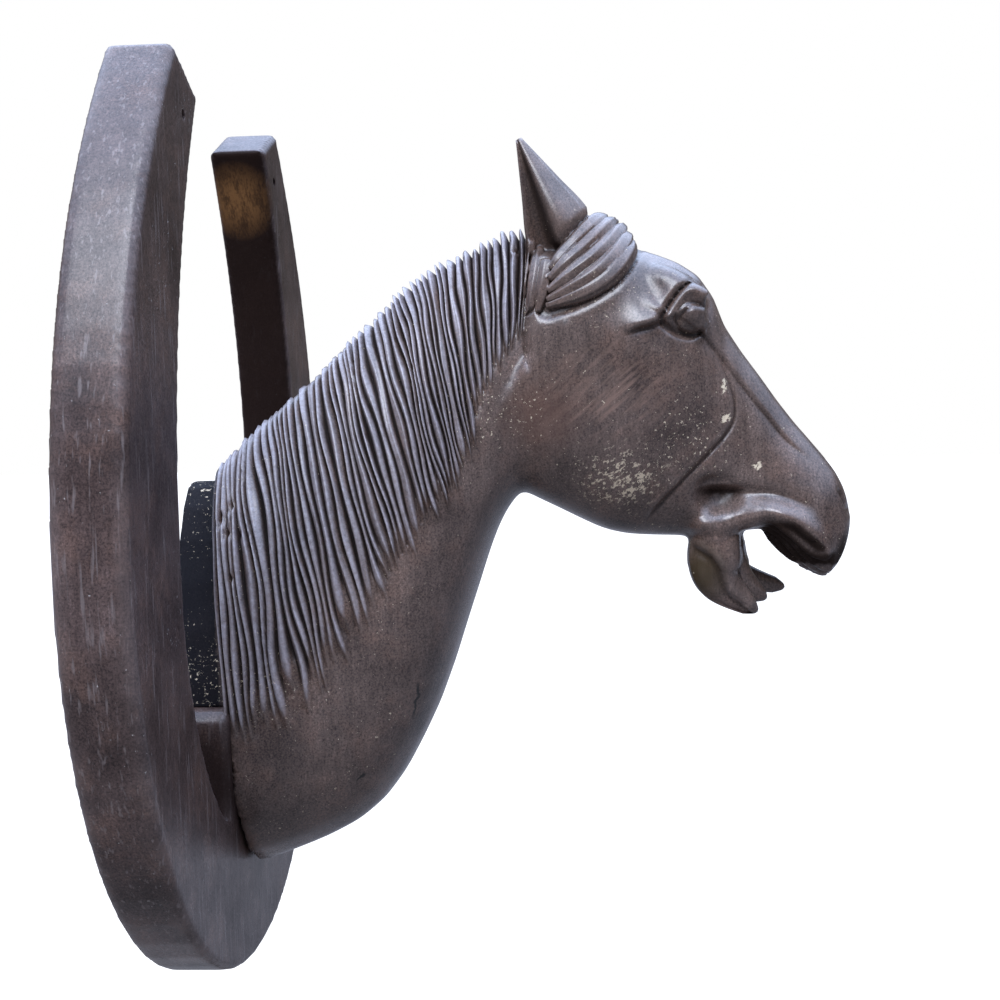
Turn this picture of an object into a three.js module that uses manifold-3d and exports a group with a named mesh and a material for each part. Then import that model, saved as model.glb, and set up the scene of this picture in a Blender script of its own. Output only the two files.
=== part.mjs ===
// A carved wooden horse head on a horseshoe-shaped wooden wall plaque.
//
// The horseshoe stands upright against the wall with its heels up. A tongue of the same board
// rises from its toe. The horse's neck is butted against the tongue, and above the tongue a plain
// block at the back of the neck reaches through the opening. The horse looks out from the wall.
//
// Units are millimetres. Shapes are worked out with "out" as the distance from the wall, "up" as
// the height above a base line under the horseshoe and "side" as the distance from the middle
// plane, negative on the side that the mane falls on. X is side, Y is minus out and Z is up, and
// the origin is on the wall, behind the middle of the horseshoe's toe.

import * as THREE from "three";
import { mergeVertices } from "three/addons/utils/BufferGeometryUtils.js";
import Module from "manifold-3d";

const wasm = await Module();
wasm.setup();

// Horseshoe: a flat board with an outer and an inner outline, both round at the toe.
const SHOE_HEEL_UP = 300;
const SHOE_LOWEST_UP = 3;
const SHOE_THICKNESS = 20;
const SHOE_HALF_WIDTH = 125.7;
const SHOE_WIDEST_UP = 149;
const SHOE_HEEL_HALF_WIDTH = 66.5;
const SHOE_OPENING_LOWEST_UP = 46;
const SHOE_OPENING_HALF_WIDTH = 79.9;
const SHOE_OPENING_WIDEST_UP = 148;
const SHOE_OPENING_HEEL_HALF_WIDTH = 43.3;
const SHOE_OPENING_HEEL_UP = 289.4;
const SHOE_BRANCH_CURVE = 2.2;
const SHOE_EDGE_ROUND = 1.4;
const SHOE_OUTLINE_STEPS = 16;
const NAIL_HOLE_RADIUS = 1.6;
const NAIL_HOLE_SIDE = 60;
const NAIL_HOLE_UP = 281;
const ORIGIN_UP = 23;

// Tongue of the horseshoe, in the bottom of its opening.
const TONGUE_HALF_WIDTH = 37.5;
const TONGUE_TOP_UP = 95;
const TONGUE_CORNER = 3;

// Neck: cross-sections strung between the crest line and the front line, [out, up] of each.
const NECK_CREST = [[12, 172], [32, 191], [52, 208], [71, 224], [88.5, 237], [105, 245], [121, 250]];
const NECK_FRONT = [[22.5, 34.5], [61.5, 52.2], [83.5, 85.3], [97.7, 123.7], [105, 145], [110, 156], [116, 164]];
const NECK_HALF_WIDTHS = [37, 37.5, 35.5, 32, 28.5, 25.5, 22.5];
const NECK_SQUARENESS = 2.2;
const NECK_CREST_WIDTH = 0.66;
const NECK_FRONT_WIDTH = 1.16;
const NECK_STEPS = 18;
const NECK_SIDES = 24;

// Joint: the gap to the horseshoe, and the plain block behind the neck.
const FIT_GAP = 0.3;
const BLOCK_BACK_OUT = 1;
const BLOCK_FRONT_OUT = 26;
const BLOCK_INSET = 3.2;

// Mane: grooved locks that lie on the neck from the crest to a ragged lower edge.
const MANE_LOCKS = 44;
const MANE_THICKNESS = 2.8;
const MANE_GROOVE = 1.6;
const MANE_ROWS = [-0.12, -0.03, 0, 0.06, 0.2, 0.42, 0.7, 1];
const MANE_RAGGED = 0.03;
const MANE_END = [0.595, 0.585, 0.575, 0.635, 0.63, 0.42, 0.3];

// Head: cross-sections strung between the top line and the underside line, [out, up] of each.
const HEAD_TOP = [
  [110, 238], [124, 250], [140, 250], [156, 244], [168.4, 240], [179.3, 232], [186.2, 216.4],
  [196.4, 201.8], [206, 188], [215, 177], [222, 168], [225.6, 160], [227, 151.3], [224.8, 141.5],
];
const HEAD_UNDER = [
  [107, 170], [119, 162.5], [132, 156], [145, 149.5], [156, 147.5], [165, 147], [173, 146.5],
  [182, 147], [191, 148], [199, 148.5], [205, 144], [210, 138], [215, 134], [219, 132],
];
const HEAD_HALF_WIDTHS = [20, 24.5, 27.5, 28.3, 27.5, 25, 20.5, 17, 16.5, 17.5, 18.5, 17.5, 14.5, 9];
const HEAD_TOP_WIDTHS = [0.9, 0.95, 1, 1.05, 1.05, 1, 0.95, 0.9, 0.85, 0.8, 0.8, 0.85, 0.95, 1];
const HEAD_UNDER_WIDTHS = [1, 1, 0.95, 0.9, 0.85, 0.85, 0.9, 0.95, 1.05, 1.1, 1.1, 1.1, 1.05, 1];
const HEAD_SQUARENESS = 2.6;
const HEAD_STEPS = 22;
const HEAD_SIDES = 26;

// Cheek: the carved line round its front, which ends straight at the jaw.
const CHEEK_LINE = [[181, 207], [186, 198], [186, 189], [179, 178.5], [168, 166], [157, 153]];

// Eye, its lids, the brow above it and the ledge that runs back from its corner.
const EYE = { out: 172.5, up: 221.5, side: 21.5, radius: 5.6 };
const BROW = { out: 167.5, up: 229.5, side: 16, halfOut: 12, halfUp: 6, halfSide: 9.5, tilt: 30 };
const UPPER_LID = [[164, 218.5], [166, 225.5], [172, 229], [178, 226]];
const LOWER_LID = [[164, 218], [169, 214.5], [175, 214.5], [179, 218]];
const LEDGE = [[165, 220], [157, 217], [148, 215]];

// Muzzle: the groove beside the nose, the nostril's hollow and the thick edge of the upper lip.
const NOSE_GROOVE = [[177, 213], [184, 205], [196, 189], [206, 179], [218, 167]];
const LIP_EDGE = [[172, 152], [181, 153], [191, 154.5], [200, 156.5], [208, 151.5], [214, 144.5], [219, 136.5]];
const LIP_EDGE_RADII = [3, 5.6, 5.6, 5.8, 5.4, 4.6, 3];

// Lower jaw: three lobes, each [side, out, up, radius] from its root to its tip.
const JAW_LOBES = [
  [[-6, 182, 151, 8], [-6.5, 181.2, 139, 9.4], [-7, 183.4, 130.5, 7.4], [-7.5, 195, 121, 2]],
  [[0, 183, 151, 8], [0, 184, 140, 9], [-1, 190, 131, 6], [-1, 199, 124, 1.6]],
  [[6, 183, 151, 8], [6.5, 183.5, 139, 8.6], [7, 191, 131.5, 5.2], [7, 206.5, 126.8, 1.8]],
];

// Ears: the base, middle and tip of one, [side, out, up, radius], and how much deeper it is
// from front to back than across.
const EAR = [[14, 135, 240, 6.2], [15, 130.8, 250.5, 6.7], [15.5, 125, 264, 3.9], [15, 118.3, 279.3, 0.6]];
const EAR_DEPTH = 1.7;
const EAR_HOLLOW = [[21, 123, 246, 3.6], [20.5, 121, 256, 3.2], [18, 118.5, 268, 1.4], [16, 117, 276, 0.4]];

// Forelock: locks that sweep from the forehead back under the ear, each by [out, up].
const FORELOCK = [
  [[145.5, 254], [138.5, 247.5], [131, 238], [126, 229]],
  [[150.3, 252.2], [142.5, 243.3], [134, 235], [126.5, 228]],
  [[152.8, 248.8], [146.5, 239], [137, 231.5], [127, 227]],
  [[154.2, 245.2], [149.5, 235.5], [140, 228.5], [128, 226]],
];
const FORELOCK_RADII = [4.2, 4.5, 3.8, 1.2];

const HORSE_WOOD = new THREE.MeshStandardMaterial({ color: 0x3d2f2b, roughness: 0.45 });
const SHOE_WOOD = new THREE.MeshStandardMaterial({ color: 0x43353a, roughness: 0.5 });

// A point of the part from its distances to the side, out from the wall and up.
function place(side, out, up) {
  return new THREE.Vector3(side, -out, up - ORIGIN_UP);
}

// A smooth value at share t of the way along a list of evenly spread values.
function along(values, t) {
  const last = values.length - 1;
  const x = THREE.MathUtils.clamp(t, 0, 1) * last;
  const i = Math.min(Math.floor(x), last - 1);
  const at = (k) => values[THREE.MathUtils.clamp(k, 0, last)];
  const w = x - i;
  const slopeA = (at(i + 1) - at(i - 1)) / 2;
  const slopeB = (at(i + 2) - at(i)) / 2;
  const rise = at(i + 1) - at(i);
  return at(i) + w * (slopeA + w * (3 * rise - 2 * slopeA - slopeB + w * (slopeA + slopeB - 2 * rise)));
}

// The same for a list of [out, up] pairs.
function lineAlong(pairs, t) {
  return [along(pairs.map((p) => p[0]), t), along(pairs.map((p) => p[1]), t)];
}

// A closed geometry as a solid. A mesh that came out inside out is turned round.
function solidOf(geometry) {
  const bare = geometry.index ? geometry.toNonIndexed() : geometry.clone();
  bare.deleteAttribute("normal");
  bare.deleteAttribute("uv");
  const merged = mergeVertices(bare, 1e-4);
  const triVerts = new Uint32Array(merged.index.array);
  const vertProperties = merged.attributes.position.array;
  const made = new wasm.Manifold(new wasm.Mesh({ numProp: 3, vertProperties, triVerts }));
  if (made.volume() > 0) return made;
  triVerts.reverse();
  return new wasm.Manifold(new wasm.Mesh({ numProp: 3, vertProperties, triVerts }));
}

// A solid's surface as a geometry.
function geometryOf(solid) {
  const mesh = solid.getMesh();
  const positions = new Float32Array(mesh.numVert * 3);
  for (let i = 0; i < mesh.numVert; i++) {
    for (let k = 0; k < 3; k++) positions[i * 3 + k] = mesh.vertProperties[i * mesh.numProp + k];
  }
  const geometry = new THREE.BufferGeometry();
  geometry.setAttribute("position", new THREE.BufferAttribute(positions, 3));
  geometry.setIndex(new THREE.BufferAttribute(new Uint32Array(mesh.triVerts), 1));
  return geometry;
}

// A closed skin over rings of points, each ring with as many points, capped at both ends.
function skin(rings) {
  const sides = rings[0].length;
  const positions = rings.flat().flatMap((p) => [p.x, p.y, p.z]);
  const index = [];
  for (let i = 0; i + 1 < rings.length; i++) {
    for (let j = 0; j < sides; j++) {
      const a = i * sides + j;
      const b = i * sides + ((j + 1) % sides);
      index.push(a, b, a + sides, b, b + sides, a + sides);
    }
  }
  for (const [ring, flip] of [[0, true], [rings.length - 1, false]]) {
    const centre = rings[ring].reduce((sum, p) => sum.add(p), new THREE.Vector3());
    centre.divideScalar(sides);
    const hub = positions.length / 3;
    positions.push(centre.x, centre.y, centre.z);
    for (let j = 0; j < sides; j++) {
      const a = ring * sides + j;
      const b = ring * sides + ((j + 1) % sides);
      index.push(...(flip ? [b, a, hub] : [a, b, hub]));
    }
  }
  const geometry = new THREE.BufferGeometry();
  geometry.setAttribute("position", new THREE.Float32BufferAttribute(positions, 3));
  geometry.setIndex(index);
  return solidOf(geometry);
}

// A tapering limb through points, each [side, out, up, radius]. Its sections are round, or oval
// where depth, their size in the side view over their size across, isn't 1.
function limb(points, sides, steps, depth = 1) {
  const curve = new THREE.CatmullRomCurve3(points.map((p) => place(p[0], p[1], p[2])));
  const radii = points.map((p) => p[3]);
  const frames = curve.computeFrenetFrames(steps, false);
  const rings = [];
  for (let i = 0; i <= steps; i++) {
    const centre = curve.getPoint(i / steps);
    const radius = along(radii, i / steps);
    const ring = [];
    for (let j = 0; j < sides; j++) {
      const angle = (j / sides) * 2 * Math.PI;
      ring.push(
        centre.clone()
          .addScaledVector(frames.normals[i], radius * Math.cos(angle))
          .addScaledVector(frames.binormals[i], radius * depth * Math.sin(angle)),
      );
    }
    rings.push(ring);
  }
  return skin(rings);
}

// An egg with its three half-sizes. A tilt in degrees turns its front end down.
function egg(side, out, up, halfSide, halfOut, halfUp, tilt = 0, detail = 10) {
  const geometry = new THREE.SphereGeometry(1, detail, Math.round(detail * 0.7));
  geometry.scale(halfSide, halfOut, halfUp);
  geometry.rotateX(THREE.MathUtils.degToRad(tilt));
  const at = place(side, out, up);
  geometry.translate(at.x, at.y, at.z);
  return solidOf(geometry);
}

function union(solids) {
  return solids.reduce((sum, solid) => sum.add(solid));
}

// A feature of both sides of the head. The hand is -1 or 1.
function bothSides(make) {
  return make(-1).add(make(1));
}

// One side of an outline of the horseshoe, from the heel down to the middle of the toe.
function outlineSide(heelUp, widestUp, lowestUp, widest, heel) {
  const points = [];
  for (let i = 0; i < SHOE_OUTLINE_STEPS; i++) {
    const rise = 1 - i / SHOE_OUTLINE_STEPS;
    const side = widest - (widest - heel) * rise ** SHOE_BRANCH_CURVE;
    points.push(new THREE.Vector2(side, THREE.MathUtils.lerp(widestUp, heelUp, rise)));
  }
  for (let i = 0; i <= SHOE_OUTLINE_STEPS; i++) {
    const angle = (i / SHOE_OUTLINE_STEPS) * (Math.PI / 2);
    const up = widestUp - (widestUp - lowestUp) * Math.sin(angle);
    points.push(new THREE.Vector2(widest * Math.cos(angle), up));
  }
  return points;
}

// One side of the opening's outline, which turns up at the tongue and ends on its top.
function openingSide() {
  const side = outlineSide(
    SHOE_OPENING_HEEL_UP, SHOE_OPENING_WIDEST_UP, SHOE_OPENING_LOWEST_UP,
    SHOE_OPENING_HALF_WIDTH, SHOE_OPENING_HEEL_HALF_WIDTH,
  ).filter((p) => p.x > TONGUE_HALF_WIDTH);
  const drop = Math.sqrt(1 - (TONGUE_HALF_WIDTH / SHOE_OPENING_HALF_WIDTH) ** 2);
  const rootUp = SHOE_OPENING_WIDEST_UP - (SHOE_OPENING_WIDEST_UP - SHOE_OPENING_LOWEST_UP) * drop;
  side.push(new THREE.Vector2(TONGUE_HALF_WIDTH, rootUp));
  side.push(new THREE.Vector2(TONGUE_HALF_WIDTH, TONGUE_TOP_UP - TONGUE_CORNER));
  side.push(new THREE.Vector2(TONGUE_HALF_WIDTH - TONGUE_CORNER, TONGUE_TOP_UP));
  side.push(new THREE.Vector2(0, TONGUE_TOP_UP));
  return side;
}

// A side and its mirror image as one open line, from one heel to the other.
function bothBranches(side) {
  const mirrored = side.slice(0, -1).map((p) => new THREE.Vector2(-p.x, p.y));
  return [...side, ...mirrored.reverse()];
}

function makeHorseshoe() {
  const outer = outlineSide(
    SHOE_HEEL_UP, SHOE_WIDEST_UP, SHOE_LOWEST_UP, SHOE_HALF_WIDTH, SHOE_HEEL_HALF_WIDTH,
  );
  const outline = [...bothBranches(outer), ...bothBranches(openingSide()).reverse()];
  const geometry = new THREE.ExtrudeGeometry(new THREE.Shape(outline), {
    depth: SHOE_THICKNESS - 2 * SHOE_EDGE_ROUND,
    bevelThickness: SHOE_EDGE_ROUND,
    bevelSize: SHOE_EDGE_ROUND,
    bevelOffset: -SHOE_EDGE_ROUND,
    bevelSegments: 1,
  });
  geometry.translate(0, -ORIGIN_UP, SHOE_EDGE_ROUND);
  geometry.rotateX(Math.PI / 2);
  const nailHoles = bothSides((hand) => {
    const drill = new THREE.CylinderGeometry(NAIL_HOLE_RADIUS, NAIL_HOLE_RADIUS, 3 * SHOE_THICKNESS, 10);
    const at = place(hand * NAIL_HOLE_SIDE, 0, NAIL_HOLE_UP);
    drill.translate(at.x, at.y, at.z);
    return solidOf(drill);
  });
  return solidOf(geometry).subtract(nailHoles);
}

// A point of the neck: t runs from the wall to the poll, v from the crest (0) to the front (1)
// down the side named by hand. A negative v goes over the crest to the other side.
function neckPoint(t, v, hand) {
  const [crestOut, crestUp] = lineAlong(NECK_CREST, t);
  const [frontOut, frontUp] = lineAlong(NECK_FRONT, t);
  const down = Math.abs(v);
  const round = (1 - Math.abs(2 * down - 1) ** NECK_SQUARENESS) ** (1 / NECK_SQUARENESS);
  const taper = THREE.MathUtils.lerp(NECK_CREST_WIDTH, NECK_FRONT_WIDTH, down);
  return place(
    Math.sign(v) * hand * along(NECK_HALF_WIDTHS, t) * round * taper,
    THREE.MathUtils.lerp(crestOut, frontOut, down),
    THREE.MathUtils.lerp(crestUp, frontUp, down),
  );
}

// A ring of points round a section, from the top down one side and up the other.
function sectionRing(sides, pointAt) {
  const ring = [];
  for (let j = 0; j < sides; j++) {
    const angle = (j / sides) * 2 * Math.PI;
    ring.push(pointAt((1 - Math.cos(angle)) / 2, angle <= Math.PI ? 1 : -1));
  }
  return ring;
}

function makeNeck() {
  const rings = [];
  for (let i = 0; i <= NECK_STEPS; i++) {
    const t = (i / NECK_STEPS) ** 1.5;
    rings.push(sectionRing(NECK_SIDES, (v, hand) => neckPoint(t, v, hand)));
  }
  return skin(rings);
}

// The block is the neck's rear section, drawn in a little and run straight back.
function makeBlock() {
  const rear = sectionRing(NECK_SIDES, (v, hand) => neckPoint(0, v, hand));
  const heights = rear.map((p) => p.z);
  const middle = (Math.max(...heights) + Math.min(...heights)) / 2;
  const drawHeight = 1 - BLOCK_INSET / (Math.max(...heights) - middle);
  const drawWidth = 1 - BLOCK_INSET / Math.max(...rear.map((p) => p.x));
  return skin([BLOCK_BACK_OUT, BLOCK_FRONT_OUT].map((out) => rear.map(
    (p) => new THREE.Vector3(p.x * drawWidth, -out, middle + (p.z - middle) * drawHeight),
  )));
}

// The room that the horseshoe's toe and tongue take, with the gap of the joint round it.
function makeJointRoom() {
  const height = 2 * TONGUE_TOP_UP;
  const geometry = new THREE.BoxGeometry(2 * SHOE_HALF_WIDTH, 2 * (SHOE_THICKNESS + FIT_GAP), height);
  const at = place(0, 0, TONGUE_TOP_UP + FIT_GAP - height / 2);
  geometry.translate(at.x, at.y, at.z);
  return solidOf(geometry);
}

// The mane: a blanket over the crest with one ridge for each lock, which thins to its lower edge
// and dips under the neck's surface there.
function makeMane() {
  const columns = MANE_LOCKS * 2;
  const rings = [];
  for (let i = 0; i <= columns; i++) {
    const t = i / columns;
    const groove = i % 2 === 0;
    const end = along(MANE_END, t) + (groove ? -MANE_RAGGED : MANE_RAGGED);
    const over = [];
    const under = [];
    for (const fall of MANE_ROWS) {
      const v = fall * end;
      const here = neckPoint(t, v, -1);
      const step = 0.01;
      const forward = neckPoint(Math.min(t + step, 1), v, -1).sub(neckPoint(Math.max(t - step, 0), v, -1));
      const downward = neckPoint(t, v + step, -1).sub(neckPoint(t, v - step, -1));
      const normal = forward.cross(downward).normalize();
      if (normal.dot(here.clone().sub(neckPoint(t, 0.5, 0))) < 0) normal.negate();
      const full = MANE_THICKNESS - (groove ? MANE_GROOVE : 0);
      const atEdge = fall === 1 || fall === MANE_ROWS[0];
      const height = atEdge ? -1 : full * Math.sqrt(1 - 0.7 * Math.abs(fall) ** 3);
      over.push(here.clone().addScaledVector(normal, height));
      under.push(here.clone().addScaledVector(normal, -4));
    }
    rings.push([...over, ...under.reverse()]);
  }
  return skin(rings);
}

// Half-width of the skull at share v of the way down its section at t.
function skullHalfWidth(t, v) {
  const round = (1 - Math.abs(2 * v - 1) ** HEAD_SQUARENESS) ** (1 / HEAD_SQUARENESS);
  const taper = THREE.MathUtils.lerp(along(HEAD_TOP_WIDTHS, t), along(HEAD_UNDER_WIDTHS, t), v);
  return along(HEAD_HALF_WIDTHS, t) * round * taper;
}

function makeSkull() {
  const rings = [];
  for (let i = 0; i <= HEAD_STEPS; i++) {
    const t = i / HEAD_STEPS;
    const [topOut, topUp] = lineAlong(HEAD_TOP, t);
    const [underOut, underUp] = lineAlong(HEAD_UNDER, t);
    rings.push(sectionRing(HEAD_SIDES, (v, hand) => place(
      hand * skullHalfWidth(t, v),
      THREE.MathUtils.lerp(topOut, underOut, v),
      THREE.MathUtils.lerp(topUp, underUp, v),
    )));
  }
  return skin(rings);
}

// How far the skull reaches to the side at a point of the side view.
function skullReach(out, up) {
  let best = 0;
  const steps = 160;
  for (let i = 1; i < steps; i++) {
    const t = i / steps;
    const [topOut, topUp] = lineAlong(HEAD_TOP, t);
    const [underOut, underUp] = lineAlong(HEAD_UNDER, t);
    const [lineOut, lineUp] = [underOut - topOut, underUp - topUp];
    const length = Math.hypot(lineOut, lineUp);
    const off = ((out - topOut) * lineUp - (up - topUp) * lineOut) / length;
    const v = ((out - topOut) * lineOut + (up - topUp) * lineUp) / length ** 2;
    if (Math.abs(off) < 1 && v > 0 && v < 1) best = Math.max(best, skullHalfWidth(t, v));
  }
  return best;
}

// A limb that follows the skull's surface through [out, up] points, sunk or lifted a little.
function ridge(hand, points, radii, lift, sides, steps) {
  const onSkull = points.map((p, i) => [hand * (skullReach(p[0], p[1]) + lift), p[0], p[1], radii[i]]);
  return limb(onSkull, sides, steps);
}

function makeEye(hand) {
  const ball = egg(hand * EYE.side, EYE.out, EYE.up, EYE.radius, EYE.radius, EYE.radius);
  const upperLid = limb(UPPER_LID.map(([out, up]) => [hand * 24, out, up, 2.1]), 6, 6);
  const lowerLid = limb(LOWER_LID.map(([out, up]) => [hand * 22.8, out, up, 1.4]), 5, 6);
  const brow = egg(
    hand * BROW.side, BROW.out, BROW.up, BROW.halfSide, BROW.halfOut, BROW.halfUp, BROW.tilt,
  );
  const ledge = ridge(hand, LEDGE, [2.4, 2.2, 0.8], -0.4, 6, 4);
  return union([ball, upperLid, lowerLid, brow, ledge]);
}

// What is cut out of one side of the head before the eye goes in.
function makeHollows(hand) {
  const socket = egg(hand * 27.5, EYE.out, EYE.up + 0.5, 6.5, 8, 8);
  const groove = ridge(hand, NOSE_GROOVE, [2, 1.3, 1, 1, 0.6], 0.5, 5, 8);
  const nostril = egg(hand * 21, 181.5, 164, 8, 9.5, 6, -6);
  const trough = egg(hand * 21, 199, 163, 4.2, 14, 4, 8);
  const slit = egg(hand * 10, 227, 158.5, 4, 4.5, 1.8, 50, 8);
  const cheekLine = ridge(hand, CHEEK_LINE, [0.8, 1.3, 1.3, 1.3, 1.3, 0.8], 0.4, 5, 10);
  return union([socket, groove, cheekLine, nostril, trough, slit]);
}

function makeEar(hand) {
  const mirror = (points) => points.map((p) => [hand * p[0], p[1], p[2], p[3]]);
  return limb(mirror(EAR), 10, 6, EAR_DEPTH).subtract(limb(mirror(EAR_HOLLOW), 7, 5, 1.2));
}

function makeForelock() {
  return union(FORELOCK.map((line) => limb(line.map(([out, up], i) => {
    const side = i === 0 ? -2 : -Math.max(skullReach(out, up), 8) + 0.5;
    return [side, out, up, FORELOCK_RADII[i]];
  }), 6, 7)));
}

function makeHorse() {
  const skull = makeSkull().subtract(bothSides(makeHollows));
  const lip = bothSides((hand) => ridge(hand, LIP_EDGE, LIP_EDGE_RADII, -2.6, 8, 12));
  const teeth = egg(0, 208.6, 142.4, 8.5, 12.5, 4, 41);
  const jaw = union(JAW_LOBES.map((lobe) => limb(lobe, 8, 6)));
  const trim = union([bothSides(makeEye), lip, teeth, jaw, bothSides(makeEar), makeForelock()]);
  const neck = union([makeNeck(), makeBlock(), makeMane()]).subtract(makeJointRoom());
  return union([neck, skull, trim]);
}

const group = new THREE.Group();
for (const [name, solid, material] of [
  ["horseshoe", makeHorseshoe(), SHOE_WOOD],
  ["horse_head", makeHorse(), HORSE_WOOD],
]) {
  const mesh = new THREE.Mesh(geometryOf(solid), material);
  mesh.name = name;
  group.add(mesh);
}

export default group;
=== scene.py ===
import math

import bmesh
import bpy
import numpy as np
from mathutils import Matrix, Vector
from mathutils.bvhtree import BVHTree


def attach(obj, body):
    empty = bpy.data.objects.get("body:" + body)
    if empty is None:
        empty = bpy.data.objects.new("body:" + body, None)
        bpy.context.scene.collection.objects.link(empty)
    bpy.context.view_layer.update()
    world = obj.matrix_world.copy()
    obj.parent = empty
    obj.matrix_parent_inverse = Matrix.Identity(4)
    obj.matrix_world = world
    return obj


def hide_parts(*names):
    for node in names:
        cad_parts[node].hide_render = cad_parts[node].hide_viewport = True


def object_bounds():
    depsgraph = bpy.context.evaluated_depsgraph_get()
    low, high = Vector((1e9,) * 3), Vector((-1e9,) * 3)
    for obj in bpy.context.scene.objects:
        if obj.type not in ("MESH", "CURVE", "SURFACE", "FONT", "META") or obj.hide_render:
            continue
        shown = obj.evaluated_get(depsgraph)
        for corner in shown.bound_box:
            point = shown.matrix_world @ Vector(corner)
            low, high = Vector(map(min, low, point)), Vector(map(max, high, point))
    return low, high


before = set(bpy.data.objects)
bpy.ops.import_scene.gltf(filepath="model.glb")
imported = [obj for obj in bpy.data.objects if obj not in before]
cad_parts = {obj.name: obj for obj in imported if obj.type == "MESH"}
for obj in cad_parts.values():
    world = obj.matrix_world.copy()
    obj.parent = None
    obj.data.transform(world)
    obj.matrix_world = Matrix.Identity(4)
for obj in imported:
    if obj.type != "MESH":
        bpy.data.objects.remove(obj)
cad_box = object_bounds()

# Horse's head and neck
# Carved from one block of hardwood with gouges, stained dark brown and waxed. The hidden rear of
# the neck ends in a plain block that reaches back through the horseshoe's opening.
MM = 0.001
ORIGIN_UP = 23.0


def place(side, out, up):
    """A point from its distances in mm to the side, out from the wall and up."""
    return Vector((side * MM, -out * MM, (up - ORIGIN_UP) * MM))


def along(values, t):
    """A smooth value at share t of the way along a list of evenly spread values."""
    last = len(values) - 1
    x = min(max(t, 0.0), 1.0) * last
    i = min(int(x), last - 1)
    w = x - i
    before, here, after, beyond = (values[min(max(k, 0), last)] for k in range(i - 1, i + 3))
    slope_a = (after - before) / 2
    slope_b = (beyond - here) / 2
    rise = after - here
    return here + w * (slope_a + w * (3 * rise - 2 * slope_a - slope_b + w * (slope_a + slope_b - 2 * rise)))


def copy_of_solid(node, name):
    """A new piece with the merged surface of a CAD solid."""
    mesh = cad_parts[node].data.copy()
    mesh.name = name
    mesh.materials.clear()
    bm = bmesh.new()
    bm.from_mesh(mesh)
    bmesh.ops.remove_doubles(bm, verts=bm.verts, dist=1e-6)
    bm.to_mesh(mesh)
    bm.free()
    piece = bpy.data.objects.new(name, mesh)
    bpy.context.scene.collection.objects.link(piece)
    return piece


def settle(piece):
    """Makes the piece's modifiers part of its mesh."""
    evaluated = piece.evaluated_get(bpy.context.evaluated_depsgraph_get())
    mesh = bpy.data.meshes.new_from_object(evaluated)
    mesh.name = piece.name
    piece.modifiers.clear()
    piece.data = mesh


def points_of(mesh):
    """The mesh's points in mm as arrays of side, out and up."""
    co = np.empty(len(mesh.vertices) * 3, np.float32)
    mesh.vertices.foreach_get("co", co)
    co = co.reshape(-1, 3).astype(float) / MM
    return co[:, 0], -co[:, 1], co[:, 2] + ORIGIN_UP


def normals_of(mesh):
    """The directions that the mesh's points face, as an array in the part's frame."""
    facing = np.empty(len(mesh.vertices) * 3, np.float32)
    mesh.vertex_normals.foreach_get("vector", facing)
    return facing.reshape(-1, 3).astype(float)


def remesh(piece, size):
    skin = piece.modifiers.new("skin", "REMESH")
    skin.mode = "VOXEL"
    skin.voxel_size = size * MM
    settle(piece)


def work_down(piece, weights, rounds):
    """Sands the piece, as far as each point's weight from 0 to 1 allows."""
    group = piece.vertex_groups.new(name="softness")
    for i, weight in enumerate(weights):
        group.add((i,), float(weight), "REPLACE")
    smoothing = piece.modifiers.new("worked_down", "SMOOTH")
    smoothing.factor = 0.5
    smoothing.iterations = rounds
    smoothing.vertex_group = "softness"
    settle(piece)
    piece.vertex_groups.clear()


def combine(piece, bm, operation="UNION"):
    """Joins a closed bmesh to the piece, or cuts it out of the piece."""
    bmesh.ops.recalc_face_normals(bm, faces=bm.faces)
    mesh = bpy.data.meshes.new("addition")
    bm.to_mesh(mesh)
    bm.free()
    addition = bpy.data.objects.new("addition", mesh)
    bpy.context.scene.collection.objects.link(addition)
    joint = piece.modifiers.new("joint", "BOOLEAN")
    joint.operation = operation
    joint.solver = "MANIFOLD"
    joint.object = addition
    settle(piece)
    bpy.data.objects.remove(addition)


def ramp(x, low, high):
    """A soft step from 0 at low to 1 at high."""
    share = np.clip((x - low) / (high - low), 0, 1)
    return share * share * (3 - 2 * share)


HEAD_MESH = 1.15
HEAD_MOST_TRIANGLES = 190000
ROUGH_ROUNDS, FINE_ROUNDS = 14, 60
head = copy_of_solid("horse_head", "carved_horse_head")
remesh(head, HEAD_MESH)

# The marks of roughing out are sanded down, most on the neck, the cheeks and where they meet.
side, out, up = points_of(head.data)
at_wall = out < 21.5
fine = np.maximum.reduce([
    1 - ramp(np.hypot(out - 196, up - 131), 14, 26),
    1 - ramp(np.hypot(out - 124, up - 266), 14, 24),
])
work_down(head, np.where(at_wall, 0.15, 1 - 0.75 * fine), ROUGH_ROUNDS)
side, out, up = points_of(head.data)
smooth_side = np.where(at_wall, 0, ramp(out, 21.5, 30) * (1 - ramp(out, 150, 172)) * (1 - fine))
smooth_side *= 1 - ramp(up + 0.35 * out, 283, 296)
work_down(head, smooth_side, FINE_ROUNDS)


def swell_out(piece, amounts):
    """Moves each point along its normal by an amount in mm."""
    side, out, up = points_of(piece.data)
    moved = np.column_stack((side, -out, up - ORIGIN_UP))
    moved = moved + normals_of(piece.data) * np.asarray(amounts)[:, None]
    piece.data.vertices.foreach_set("co", (moved * MM).astype(np.float32).ravel())
    piece.data.update()


swell_out(head, np.where(at_wall, 0, 0.35 + 0.45 * smooth_side))

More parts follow.
